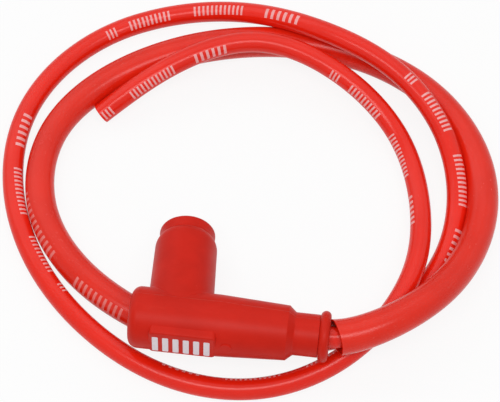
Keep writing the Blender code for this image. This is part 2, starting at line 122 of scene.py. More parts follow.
class ShaderBench:
    """The node graph of a material or of the world, with the few node patterns that they share."""

    def __init__(self, owner: Union[bpy.types.Material, bpy.types.World]) -> None:
        """Starts from the owner's own shader, Principled or Background."""
        self.owner = owner
        owner.use_nodes = True
        self.tree = owner.node_tree
        kinds = ("BSDF_PRINCIPLED", "BACKGROUND")
        self.shader = next(node for node in self.tree.nodes if node.type in kinds)

    def node(
        self, kind: str, settings: Mapping[str, Any], inputs: Mapping[Any, Any],
    ) -> bpy.types.Node:
        """Adds a node.

        Args:
            kind: the node's type name.
            settings: attributes that are set first.
            inputs: socket name or index to a number, a colour, a socket or a signal.

        Returns:
            The new node.
        """
        node = self.tree.nodes.new(kind)
        for key, value in settings.items():
            setattr(node, key, value)
        for key, value in inputs.items():
            self.feed(node.inputs[key], value)
        return node

    def feed(self, target: bpy.types.NodeSocket, value: Any) -> None:
        """Links or sets one input socket."""
        if isinstance(value, Signal):
            value = value.socket
        if isinstance(value, bpy.types.NodeSocket):
            self.tree.links.new(value, target)
        elif isinstance(value, tuple) and len(value) == 3 and target.type == "RGBA":
            target.default_value = (*value, 1.0)
        else:
            target.default_value = value

    def place(self) -> bpy.types.NodeSocket:
        """The point on the piece, in metres."""
        return self.node("ShaderNodeTexCoord", {}, {}).outputs["Object"]

    def skin(self) -> bpy.types.NodeSocket:
        """The piece's own attribute: distance along, then cosine and sine of the angle round."""
        return self.node("ShaderNodeAttribute", {"attribute_name": "skin"}, {}).outputs["Vector"]

    def parts(self, vector: Any) -> list[Signal]:
        """The three parts of a vector."""
        outputs = self.node("ShaderNodeSeparateXYZ", {}, {0: vector}).outputs
        return [Signal(self, output) for output in outputs]

    def stretched(self, vector: Any, scale: Colour) -> bpy.types.NodeSocket:
        """A vector with each part multiplied."""
        node = self.node("ShaderNodeVectorMath", {"operation": "MULTIPLY"}, {0: vector, 1: scale})
        return node.outputs[0]

    def noise(
        self, vector: Any, scale: float, detail: float = 3.0, roughness: float = 0.5,
    ) -> Signal:
        """Cloudy noise from 0 to 1 about 0.5.

        Args:
            vector: where it is read.
            scale: waves to the metre.
            detail: octaves.
            roughness: strength of the finer octaves.

        Returns:
            The noise value.
        """
        inputs = {"Vector": vector, "Scale": scale, "Detail": detail, "Roughness": roughness}
        return Signal(self, self.node("ShaderNodeTexNoise", {}, inputs).outputs[0])

    def cells(self, vector: Any, scale: float) -> Signal:
        """Distance to the nearest of many scattered points, in cells."""
        inputs = {"Vector": vector, "Scale": scale}
        return Signal(self, self.node("ShaderNodeTexVoronoi", {}, inputs).outputs["Distance"])

    def mix(self, share: Any, low: Any, high: Any) -> bpy.types.NodeSocket:
        """A colour between two colours."""
        inputs = {0: share, 6: low, 7: high}
        return self.node("ShaderNodeMix", {"data_type": "RGBA"}, inputs).outputs[2]

    def bump(
        self, height: Any, distance: float, strength: float, below: Any = None,
    ) -> bpy.types.NodeSocket:
        """Turns a height from 0 to 1 into a normal.

        Args:
            height: the height signal.
            distance: how far a height of 1 stands out, in metres.
            strength: share of the effect.
            below: a normal that this one adds to.

        Returns:
            The normal.
        """
        inputs = {"Height": height, "Distance": distance, "Strength": strength}
        if below is not None:
            inputs["Normal"] = below
        return self.node("ShaderNodeBump", {}, inputs).outputs[0]

    def seen(self) -> Signal:
        """1 for what the camera sees, directly or in a shiny or clear surface, and otherwise 0."""
        rays = self.node("ShaderNodeLightPath", {}, {}).outputs
        kinds = ("Camera", "Glossy", "Transmission")
        camera, glossy, clear = (Signal(self, rays[f"Is {kind} Ray"]) for kind in kinds)
        return (camera + glossy + clear).ramp(0.0, 1.0)

    def dress(self, **sockets: Any) -> Union[bpy.types.Material, bpy.types.World]:
        """Feeds the shader.

        Args:
            sockets: socket names with underscores for spaces, and what feeds them.

        Returns:
            The finished material or world.
        """
        for name, value in sockets.items():
            self.feed(self.shader.inputs[name.replace("_", " ")], value)
        return self.owner


# Finishes

@dataclass(frozen=True)
class SiliconeFinish:
    """Moulded silicone rubber: matt, faintly clouded, finely grained, with a parting line."""

    base: Colour = (0.59, 0.013, 0.004)
    cloud: Colour = (0.53, 0.011, 0.003)
    chalk: Colour = (0.74, 0.09, 0.06)
    line_radius: float = 0.0097
    line_half_width: float = 0.00022
    line_height: float = 0.00012
    line_share: float = 0.34
    smear_share: float = 0.10
    speck_share: float = 0.35
    roughness: float = 0.34
    specular: float = 0.16

    def material(self) -> bpy.types.Material:
        """Builds the material."""
        bench = ShaderBench(bpy.data.materials.new("red_silicone_moulded"))
        place = bench.place()
        clouds = bench.noise(place, 95.0, 4.0, 0.6)
        smears = bench.noise(bench.stretched(place, (0.35, 1.0, 1.0)), 260.0, 3.0, 0.6)
        patches = bench.noise(place, 60.0).ramp(0.50, 0.62)
        specks = bench.cells(place, 420.0).ramp(0.085, 0.045) * patches
        along, facing, across = bench.parts(bench.skin())
        line = abs(across * self.line_radius).ramp(self.line_half_width, 0.0)
        line = line * facing.ramp(0.2, 0.5) * along.ramp(0.5, 0.4)
        broken = line * bench.noise(place, 330.0, 2.0).ramp(0.35, 0.60)

        colour = bench.mix(clouds.ramp(0.30, 0.72), self.base, self.cloud)
        chalky = smears.ramp(0.60, 0.85) * self.smear_share + broken * self.line_share
        colour = bench.mix(chalky + specks * self.speck_share, colour, self.chalk)
        roughness = clouds * 0.10 + smears * 0.10 + self.roughness
        normal = bench.bump(bench.noise(place, 5200.0, 2.0), 0.00002, 0.35)
        normal = bench.bump(bench.noise(place, 700.0, 3.0), 0.00006, 0.40, normal)
        normal = bench.bump(broken * 0.6 + line * 0.4, self.line_height, 1.0, normal)
        return bench.dress(
            Base_Color=colour, Roughness=roughness, Normal=normal, Specular_IOR_Level=self.specular,
        )


@dataclass(frozen=True)
class ExtrudedFinish:
    """Extruded rubber or plastic: satin, with faint draw lines along it."""

    name: str
    base: Colour
    shade: Colour
    gloss: float
    dust: float
    dust_colour: Colour = (0.80, 0.22, 0.17)
    draw_lines: float = 26.0
    specular: float = 0.30

    def material(self) -> bpy.types.Material:
        """Builds the material."""
        bench = ShaderBench(bpy.data.materials.new(self.name))
        place = bench.place()
        skin = bench.skin()
        clouds = bench.noise(place, 70.0, 3.0)
        drawn = bench.noise(bench.stretched(skin, (6.0, 1.0, 1.0)), self.draw_lines, 3.0, 0.6)
        rubbed = bench.noise(bench.stretched(skin, (90.0, 1.0, 1.0)), 5.0, 4.0, 0.6)
        colour = bench.mix(clouds.ramp(0.30, 0.70), self.base, self.shade)
        colour = bench.mix(rubbed.ramp(0.58, 0.80) * self.dust, colour, self.dust_colour)
        roughness = rubbed * 0.08 + clouds * 0.06 + self.gloss
        normal = bench.bump(drawn, 0.00002, 0.3)
        normal = bench.bump(bench.noise(place, 420.0, 2.0), 0.00008, 0.2, normal)
        return bench.dress(
            Base_Color=colour, Roughness=roughness, Normal=normal, Specular_IOR_Level=self.specular,
        )


@dataclass(frozen=True)
class InkFinish:
    """Ink printed on rubber, thin enough for some of the rubber to show."""

    name: str
    ink: Colour
    under: Colour
    cover: float

    def material(self) -> bpy.types.Material:
        """Builds the material."""
        bench = ShaderBench(bpy.data.materials.new(self.name))
        worn = bench.noise(bench.place(), 900.0, 3.0, 0.7).ramp(0.30, 0.75)
        colour = bench.mix(worn * (2.0 - 2.0 * self.cover), self.ink, self.under)
        return bench.dress(Base_Color=colour, Roughness=worn * 0.1 + 0.42, Specular_IOR_Level=0.4)


@dataclass(frozen=True)
class GrainFinish:
    """Moulded resin or fired ceramic, with a fine mineral grain in its colour and surface."""

    name: str
    base: Colour
    grain: Colour
    scale: float
    fineness: float
    shows_from: float
    roughness: float
    unevenness: float
    relief: float

    def material(self) -> bpy.types.Material:
        """Builds the material."""
        bench = ShaderBench(bpy.data.materials.new(self.name))
        grain = bench.noise(bench.place(), self.scale, 4.0, self.fineness)
        colour = bench.mix(grain.ramp(self.shows_from, 0.80), self.base, self.grain)
        normal = bench.bump(grain, self.relief, 0.5)
        roughness = grain * self.unevenness + self.roughness
        return bench.dress(Base_Color=colour, Roughness=roughness, Normal=normal)


@dataclass(frozen=True)
class MetalFinish:
    """Turned or drawn metal with tool marks and slight tarnish."""

    name: str
    bright: Colour
    dull: Colour
    roughness: float

    def material(self) -> bpy.types.Material:
        """Builds the material."""
        bench = ShaderBench(bpy.data.materials.new(self.name))
        place = bench.place()
        tarnish = bench.noise(place, 350.0, 4.0, 0.6)
        marks = bench.noise(place, 4200.0, 2.0)
        colour = bench.mix(tarnish.ramp(0.40, 0.70), self.bright, self.dull)
        roughness = tarnish * 0.18 + marks * 0.08 + self.roughness
        normal = bench.bump(marks, 0.00001, 0.6)
        return bench.dress(Base_Color=colour, Roughness=roughness, Metallic=1.0, Normal=normal)


@dataclass(frozen=True)
class StudioFloorFinish:
    """White studio paper, which the camera sees as nearly white with the soft shadow kept."""

    paper: Colour = (0.86, 0.86, 0.86)
    grain: Colour = (0.83, 0.83, 0.83)
    lift: float = 0.88

    def material(self) -> bpy.types.Material:
        """Builds the material."""
        bench = ShaderBench(bpy.data.materials.new("studio_paper"))
        tint = bench.mix(bench.noise(bench.place(), 900.0, 3.0), self.paper, self.grain)
        paper = bench.dress(Base_Color=tint, Roughness=0.9, Specular_IOR_Level=0.0)
        glow = bench.node("ShaderNodeEmission", {}, {"Color": (1.0, 1.0, 1.0), "Strength": 1.0})
        share = bench.seen() * self.lift
        shaders = {0: share, 1: bench.shader.outputs[0], 2: glow.outputs[0]}
        blend = bench.node("ShaderNodeMixShader", {}, shaders)
        bench.feed(bench.tree.nodes["Material Output"].inputs["Surface"], blend.outputs[0])
        return paper


# Surfaces

def unit(vectors: np.ndarray) -> np.ndarray:
    """Vectors scaled to a length of 1."""
    return vectors / np.linalg.norm(vectors, axis=-1, keepdims=True)


def circle(count: int) -> np.ndarray:
    """Angles evenly round a circle, in radians."""
    return np.arange(count) * math.tau / count


def arc_between(start: Any, end: Any, sweep: Any, share: np.ndarray) -> np.ndarray:
    """Points of a round arc from start to end.

    At each share: (sin((1 - share) sweep) start + sin(share sweep) end) / sin(sweep).
    """
    return (np.sin((1.0 - share) * sweep) * start + np.sin(share * sweep) * end) / np.sin(sweep)


def linked(name: str, data: bpy.types.ID) -> bpy.types.Object:
    """A new object in the scene that holds the data."""
    thing = bpy.data.objects.new(name, data)
    bpy.context.scene.collection.objects.link(thing)
    return thing


def skin_of(stations: np.ndarray, angles: np.ndarray) -> np.ndarray:
    """The skin attribute of rings: distance along, then the cosine and sine of the angle round."""
    along, around = np.meshgrid(stations, angles, indexing="ij")
    return np.stack([along, np.cos(around), np.sin(around)], axis=-1)


class SurfacePiece:
    """A mesh gathered from grids of points, each grid with its own skin attribute and finishes."""

    def __init__(self, name: str) -> None:
        """Starts an empty piece."""
        self.name = name
        self.points: list[np.ndarray] = []
        self.skins: list[np.ndarray] = []
        self.faces: list[np.ndarray] = []
        self.marks: list[np.ndarray] = []
        self.count = 0

    def add_rings(
        self,
        rings: np.ndarray,
        skin: np.ndarray,
        marks: Union[np.ndarray, None] = None,
        first: Union[np.ndarray, None] = None,
        last: Union[np.ndarray, None] = None,
        looped: bool = False,
    ) -> None:
        """Adds a closed body made of rings of points.

        Point (i, j) joins (i + 1, j) and (i, j + 1), and j goes round. Each end closes on a pole,
        or the last ring joins the first.

        Args:
            rings: points, rings by points round by 3.
            skin: the skin attribute of each point, in the same shape.
            marks: the material number of each quad, rings - 1 (or rings) by points round.
            first: the pole before the first ring.
            last: the pole after the last ring.
            looped: whether the last ring joins the first.
        """
        count, around = rings.shape[:2]
        rows = count if looped else count - 1
        i, j = np.meshgrid(np.arange(rows), np.arange(around), indexing="ij")
        below, beside = (i + 1) % count, (j + 1) % around
        here, there = i * around, below * around
        corners = (here + j, here + beside, there + beside, there + j)
        quads = np.stack(corners, axis=-1).reshape(-1, 4)
        marks = np.zeros((rows, around), dtype=np.int32) if marks is None else marks
        points = [rings.reshape(-1, 3)]
        skins = [skin.reshape(-1, 3)]
        faces, numbers = [quads], [marks.reshape(-1)]
        total = count * around
        turn = np.arange(around)
        for pole, ring, sign in ((first, 0, 1), (last, count - 1, -1)):
            if pole is None:
                continue
            points.append(np.reshape(pole, (1, 3)))
            skins.append(skin[ring].mean(axis=0, keepdims=True))
            edge = [ring * around + (turn + 1) % around, ring * around + turn][::sign]
            tip = [np.full(around, total), np.full(around, -1)]
            faces.append(np.stack([*edge, *tip], axis=-1))
            numbers.append(np.full(around, marks[min(ring, rows - 1), 0]))
            total += 1
        places = np.concatenate(points)
        joined = np.concatenate(faces)
        if self._volume(places, joined) < 0.0:
            four = joined[:, 3] >= 0
            joined[four] = joined[four][:, ::-1]
            joined[~four, :3] = joined[~four, 2::-1]
        self.points.append(places)
        self.skins.append(np.concatenate(skins))
        self.faces.append(np.where(joined >= 0, joined + self.count, -1))
        self.marks.append(np.concatenate(numbers))
        self.count += total

    @staticmethod
    def _volume(points: np.ndarray, faces: np.ndarray) -> float:
        """Signed volume inside the faces, a sum of tetrahedra from the origin."""
        four = faces[faces[:, 3] >= 0]
        fans = np.concatenate([faces[:, :3], four[:, [0, 2, 3]]])
        a, b, c = (points[fans[:, k]] for k in range(3))
        return float(np.einsum("ij,ij->i", a, np.cross(b, c)).sum() / 6.0)

    def build(self, materials: Sequence[bpy.types.Material]) -> bpy.types.Object:
        """Makes the object at the origin.

        Args:
            materials: the finishes, in the order of the material numbers.

        Returns:
            The linked object.
        """
        points = np.concatenate(self.points)
        faces = np.concatenate(self.faces)
        sizes = np.where(faces[:, 3] >= 0, 4, 3)
        corners = faces.reshape(-1)
        mesh = bpy.data.meshes.new(self.name)
        mesh.vertices.add(len(points))
        mesh.vertices.foreach_set("co", points.astype(np.float32).reshape(-1))
        mesh.loops.add(int(sizes.sum()))
        mesh.loops.foreach_set("vertex_index", corners[corners >= 0].astype(np.int32))
        mesh.polygons.add(len(faces))
        mesh.polygons.foreach_set("loop_start", (np.cumsum(sizes) - sizes).astype(np.int32))
        mesh.polygons.foreach_set("material_index", np.concatenate(self.marks).astype(np.int32))
        mesh.update(calc_edges=True)
        mesh.validate()
        skin = mesh.attributes.new("skin", "FLOAT_VECTOR", "POINT")
        skin.data.foreach_set("vector", np.concatenate(self.skins).astype(np.float32).reshape(-1))
        for material in materials:
            mesh.materials.append(material)
        mesh.shade_smooth()
        mesh.set_sharp_from_angle(angle=CREASE_ANGLE)
        LOG.info("%s: %d points, %d faces", self.name, len(points), len(faces))
        return linked(self.name, mesh)


@dataclass(frozen=True)
class Axis:
    """A line that a round form turns about, with two directions across it."""

    start: np.ndarray
    along: np.ndarray
    across: np.ndarray

    @property
    def beside(self) -> np.ndarray:
        """The second direction across, a quarter turn on from the first."""
        return np.cross(self.along, self.across)

    def spokes(self, angles: np.ndarray) -> np.ndarray:
        """Directions across the axis, at each angle from the first one."""
        return np.cos(angles)[:, None] * self.across + np.sin(angles)[:, None] * self.beside

    def rings(self, radius: np.ndarray, height: np.ndarray, angles: np.ndarray) -> np.ndarray:
        """Points at a radius, height and angle about the axis.

        Args:
            radius: distance from the axis, rings by 1 or rings by points round.
            height: distance along the axis, in the same shape.
            angles: angles round, from the direction across.

        Returns:
            Points, rings by points round by 3.
        """
        out = radius[..., None] * self.spokes(angles)
        return self.start + out + height[..., None] * self.along


def rounded_outline(corners: Sequence[Point], steps: int) -> np.ndarray:
    """Outline through corners, each rounded by an arc that touches both its sides.

    A corner of rounding r and half angle h is cut off r / tan(h) from its tip, and the arc between
    the cuts has its centre on the corner's middle line, r / sin(h) from the tip.

    Args:
        corners: (radius, height, rounding) of each corner; a rounding of 0 keeps it sharp.
        steps: spans in each arc.

    Returns:
        (radius, height) pairs.
    """
    table = np.array(corners)
    places, roundings = table[:, :2], table[:, 2]
    outline = [places[:1]]
    for k in range(1, len(places) - 1):
        if roundings[k] == 0.0:
            outline.append(places[k:k + 1])
            continue
        back = unit(places[k - 1] - places[k])
        ahead = unit(places[k + 1] - places[k])
        middle = unit(back + ahead)
        half = math.acos(float(np.clip(back @ middle, -1.0, 1.0)))
        centre = places[k] + middle * roundings[k] / math.sin(half)
        foot = places[k] + back * roundings[k] / math.tan(half) - centre
        end = places[k] + ahead * roundings[k] / math.tan(half) - centre
        sweep = math.pi - 2.0 * half
        share = np.linspace(0.0, 1.0, steps + 1)[:, None]
        outline.append(centre + arc_between(foot, end, sweep, share))
    outline.append(places[-1:])
    return np.concatenate(outline)


# The boot

@dataclass
class Boot:
    """The one-piece silicone moulding: barrel, stub, neck, bead collar and raised pad."""

    elbow: Point = (-0.0163, -0.0138, 0.0192)
    droop: float = math.radians(16.5)
    lean: float = math.radians(3.4)
    seam_turn: float = math.radians(9.5)
    back_length: float = 0.0154
    end_dome: float = 0.0005
    barrel_radius: float = 0.0098
    barrel_corner: float = 0.0030
    taper_start: float = 0.0126
    shoulder_at: float = 0.0344
    shoulder_radius: float = 0.0087
    neck_at: float = 0.0366
    neck_radius: float = 0.0068
    collar_at: float = 0.0444
    collar_width: float = 0.0033
    collar_radius: float = 0.0082
    cable_bore: float = 0.0038
    core_radius: float = 0.0069
    core_back: float = 0.0113
    core_front: float = 0.0298
    stub_root: float = 0.0093
    stub_wide: float = 0.0104
    stub_radius: float = 0.0101
    stub_round_at: float = 0.0298
    throat_at: float = 0.0334
    throat_end: float = 0.0350
    throat_radius: float = 0.0089
    lip_radius: float = 0.0091
    lip_round: float = 0.0011
    stub_length: float = 0.0378
    plug_bore: float = 0.0056
    mouth_flare: float = 0.0009
    core_stub_end: float = 0.0203
    core_stub_radius: float = 0.0067
    fillet: float = 0.0008
    fillet_search: float = 0.016
    fillet_halvings: int = 40
    skirt_sink: float = 0.00004
    shoulder_turn: float = math.radians(52.0)
    shoulder_share: float = 0.98
    pad_middle: Pair = (0.0021, 0.0013)
    pad_length: float = 0.0212
    pad_height: float = 0.0110
    pad_face: float = 0.0098
    pad_turn: float = math.radians(6.5)
    pad_edge: float = 0.0008
    pad_corner: float = 0.0015
    pad_depth: float = 0.0055
    bar_count: int = 6
    bar_width: float = 0.0019
    bar_height: float = 0.0074
    bar_pitch: float = 0.00325
    bar_proud: float = 0.00008
    bar_foot: float = 0.0002
    bar_corner: float = 0.0004
    bar_edge: float = 0.00003
    bar_middle: Pair = (0.0018, 0.0007)
    mark_middle: Pair = (0.0158, 0.0004)
    mark_radius: float = 0.0020
    mark_proud: float = 0.00004
    mark_edge: float = 0.0001
    mark_foot: float = 0.0010
    sides: int = 192
    block_sides: int = 64
    barrel: Axis = field(init=False)
    stub: Axis = field(init=False)

    def __post_init__(self) -> None:
        """Sets up the two axes of the elbow."""
        place = np.array(self.elbow)
        tilt = np.array(Matrix.Rotation(-self.droop, 3, "X"))
        seam = tilt @ np.array([0.0, math.sin(self.seam_turn), math.cos(self.seam_turn)])
        self.barrel = Axis(place, np.array([1.0, 0.0, 0.0]), seam)
        reach = tilt @ np.array([-math.sin(self.lean), math.cos(self.lean), 0.0])
        self.stub = Axis(place, reach, tilt @ np.array([0.0, 0.0, 1.0]))

    def add_barrel(self, piece: SurfacePiece) -> None:
        """Adds the barrel: its outline, from the closed end to inside the bore, turned."""
        bead = self.collar_width / 2.0
        turns = np.radians(np.linspace(-90.0, 90.0, 17))
        bead_line = np.stack([
            self.collar_radius - bead + bead * np.cos(turns),
            self.collar_at + bead + bead * np.sin(turns),
        ], axis=1)
        outer = rounded_outline([
            (0.0, -self.back_length - self.end_dome, 0.0),
            (self.barrel_radius, -self.back_length, self.barrel_corner),
            (self.barrel_radius, self.taper_start, 0.02),
            (self.shoulder_radius, self.shoulder_at, 0.0004),
            (self.neck_radius, self.neck_at, 0.0005),
            (self.neck_radius, self.collar_at - 0.0001, 0.0),
        ], 8)
        inner = rounded_outline([
            (self.collar_radius - bead, self.collar_at + self.collar_width, 0.0),
            (self.cable_bore, self.collar_at + self.collar_width, 0.0005),
            (self.cable_bore, self.core_front, 0.0),
            (self.core_radius, self.core_front, 0.0),
            (self.core_radius, -self.core_back, 0.0),
            (0.0, -self.core_back, 0.0),
        ], 4)
        outline = np.concatenate([outer[1:], bead_line, inner[1:-1]])
        angles = circle(self.sides)
        rings = self.barrel.rings(outline[:, :1], outline[:, 1:], angles)
        first = self.barrel.start - self.barrel.along * (self.back_length + self.end_dome)
        last = self.barrel.start - self.barrel.along * self.core_back
        piece.add_rings(rings, skin_of(outline[:, 1], angles), first=first, last=last)

    def stub_outside(self, height: np.ndarray) -> np.ndarray:
        """Radius of the stub's outside: it widens off the barrel, then tapers slightly."""
        spread = np.clip(1.0 - height / self.barrel_radius, 0.0, 1.0) ** 2
        length = self.stub_round_at - self.barrel_radius
        taper = np.clip((height - self.barrel_radius) / length, 0.0, 1.0)
        widening = (self.stub_wide - self.stub_root) * spread
        return self.stub_wide - widening - (self.stub_wide - self.stub_radius) * taper

    def add_stub(self, piece: SurfacePiece) -> None:
        """Adds the stub with a fillet where it leaves the barrel.

        A ball of the fillet's radius touches both forms: its centre is the fillet's radius off the
        stub's side, at the height where it is also that far off the barrel. The fillet is the arc
        between the two points of touch, at each angle round the stub.
        """
        angles = circle(self.sides)
        spoke = self.stub.spokes(angles)
        low, high = np.zeros(self.sides), np.full(self.sides, self.fillet_search)
        for _ in range(self.fillet_halvings):
            height = (low + high) / 2.0
            out = (self.stub_outside(height) + self.fillet)[:, None]
            centre = out * spoke + height[:, None] * self.stub.along
            off = centre - (centre @ self.barrel.along)[:, None] * self.barrel.along
            near = np.linalg.norm(off, axis=1) < self.barrel_radius + self.fillet
            low, high = np.where(near, height, low), np.where(near, high, height)
        to_barrel, to_stub = -unit(off), -spoke
        sweep = np.arccos(np.clip(np.einsum("ij,ij->i", to_barrel, to_stub), -1.0, 1.0))[:, None]
        share = np.linspace(0.0, 1.0, 8)[:, None, None]
        arc = arc_between(to_barrel, to_stub, sweep, share)
        skirt = self.stub.start + centre + self.fillet * arc
        skirt[0] += self.skirt_sink * to_barrel

        share = np.linspace(0.0, 1.0, 22)[1:, None]
        heights = height + (self.stub_round_at - height) * share
        wall = self.stub.rings(self.stub_outside(heights), heights, angles)
        turn = self.shoulder_turn
        round_radius = (self.throat_at - self.stub_round_at) / math.sin(turn) * self.shoulder_share
        steps = np.linspace(0.0, turn, 9)[1:]
        drop = self.stub_radius - self.throat_radius
        shoulder = np.stack([
            self.stub_radius - drop * (1.0 - np.cos(steps)) / (1.0 - math.cos(turn)),
            self.stub_round_at + round_radius * np.sin(steps),
        ], axis=1)
        top = rounded_outline([
            (self.throat_radius, self.throat_at, 0.0),
            (self.throat_radius, self.throat_end - 0.0004, 0.0012),
            (self.lip_radius, self.stub_length - self.lip_round - 0.0002, 0.0010),
            (self.lip_radius, self.stub_length, self.lip_round),
            (self.plug_bore + self.mouth_flare, self.stub_length, 0.0003),
            (self.plug_bore, self.stub_length - self.mouth_flare, 0.0004),
            (self.plug_bore, self.core_stub_end, 0.0),
            (self.core_stub_radius, self.core_stub_end, 0.0),
            (self.core_stub_radius, self.stub_root / 2.0, 0.0),
        ], 5)
        outline = np.concatenate([shoulder, top])
        rest = self.stub.rings(outline[:, :1], outline[:, 1:], angles)
        rings = np.concatenate([skirt, wall, rest])
        along = (rings - self.stub.start) @ self.stub.along
        skin = np.stack([along + 1.0, np.zeros_like(along), np.ones_like(along)], axis=-1)
        piece.add_rings(rings, skin, looped=True)

    def block(
        self, turn: float, middle: Pair, half_length: float, half_height: float,
        corner: float, edge: float, face: float, foot: float,
    ) -> tuple[np.ndarray, np.ndarray, np.ndarray]:
        """A rounded block that stands out of the barrel's side.

        Its outline is a rectangle with round corners, the sum of a smaller rectangle and a disc.
        The rim between side and face is a quarter round.

        Args:
            turn: how far its face is turned down from the direction opposite the stub.
            middle: how far its middle lies along the barrel and up its face.
            half_length: half the size along the barrel.
            half_height: half the size across it.
            corner: rounding of the outline's corners.
            edge: rounding of the rim.
            face: distance of the face from the barrel's axis.
            foot: distance of the foot from it.

        Returns:
            The rings, in the order face to foot, and the two poles.
        """
        angles = circle(self.block_sides) + math.pi / self.block_sides
        bend = np.linspace(0.0, math.pi / 2.0, 6)
        inset = np.append(edge * (1.0 - np.sin(bend)), 0.0)
        stand = np.append(face - edge * (1.0 - np.cos(bend)), foot)
        cosine, sine = np.cos(angles), np.sin(angles)
        round_by = np.maximum(corner - inset, 0.2 * corner)[:, None]
        wide = np.sign(cosine) * (half_length - inset[:, None] - round_by) + round_by * cosine
        tall = np.sign(sine) * (half_height - inset[:, None] - round_by) + round_by * sine
        tilt = turn - self.droop
        outward = np.array([0.0, -math.cos(tilt), -math.sin(tilt)])
        upward = np.array([0.0, -math.sin(tilt), math.cos(tilt)])
        base = self.barrel.start + middle[0] * self.barrel.along + middle[1] * upward
        rings = base + wide[..., None] * self.barrel.along + tall[..., None] * upward
        rings = rings + stand[:, None, None] * outward
        return rings, base + outward * face, base + outward * foot

    def add_pad(self, piece: SurfacePiece) -> None:
        """Adds the raised pad and the small round mark that the mould leaves beside it."""
        pad = self.block(
            self.pad_turn, self.pad_middle, self.pad_length / 2.0, self.pad_height / 2.0,
            self.pad_corner, self.pad_edge, self.pad_face, self.pad_depth,
        )
        round_by = self.mark_radius
        mark = self.block(
            0.0, self.mark_middle, round_by, round_by, round_by, self.mark_edge,
            self.barrel_radius - self.mark_edge + self.mark_proud,
            self.barrel_radius - self.mark_foot,
        )
        for rings, top, bottom in (pad, mark):
            skin = np.zeros(rings.shape)
            skin[..., 0] = 2.0
            piece.add_rings(rings, skin, first=top, last=bottom)

    def bars(self) -> SurfacePiece:
        """The row of plain printed bars on the pad."""
        piece = SurfacePiece("pad_bars")
        first_at = self.bar_middle[0] - (self.bar_count - 1) / 2.0 * self.bar_pitch
        for index in range(self.bar_count):
            middle = (first_at + index * self.bar_pitch, self.bar_middle[1])
            rings, top, bottom = self.block(
                self.pad_turn, middle, self.bar_width / 2.0, self.bar_height / 2.0, self.bar_corner,
                self.bar_edge, self.pad_face + self.bar_proud, self.pad_face - self.bar_foot,
            )
            piece.add_rings(rings, np.zeros(rings.shape), first=top, last=bottom)
        return piece

    def make(self) -> None:
        """Builds and dresses the boot and the bars on its pad."""
        piece = SurfacePiece("boot_moulding")
        self.add_barrel(piece)
        self.add_stub(piece)
        self.add_pad(piece)
        boot = piece.build([SiliconeFinish().material()])
        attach(boot, BODY)
        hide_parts("silicone_boot")
        ink = InkFinish("pad_print", (0.78, 0.72, 0.76), (0.60, 0.10, 0.08), 0.95)
        bars = self.bars().build([ink.material()])
        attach(bars, BODY)


# The cable and its sleeve

class Section(Enum):
    """What a face of the cable or sleeve is made of, as its material number."""

    JACKET = 0
    PRINT = 1
    INSULATION = 2
    CONDUCTOR = 3


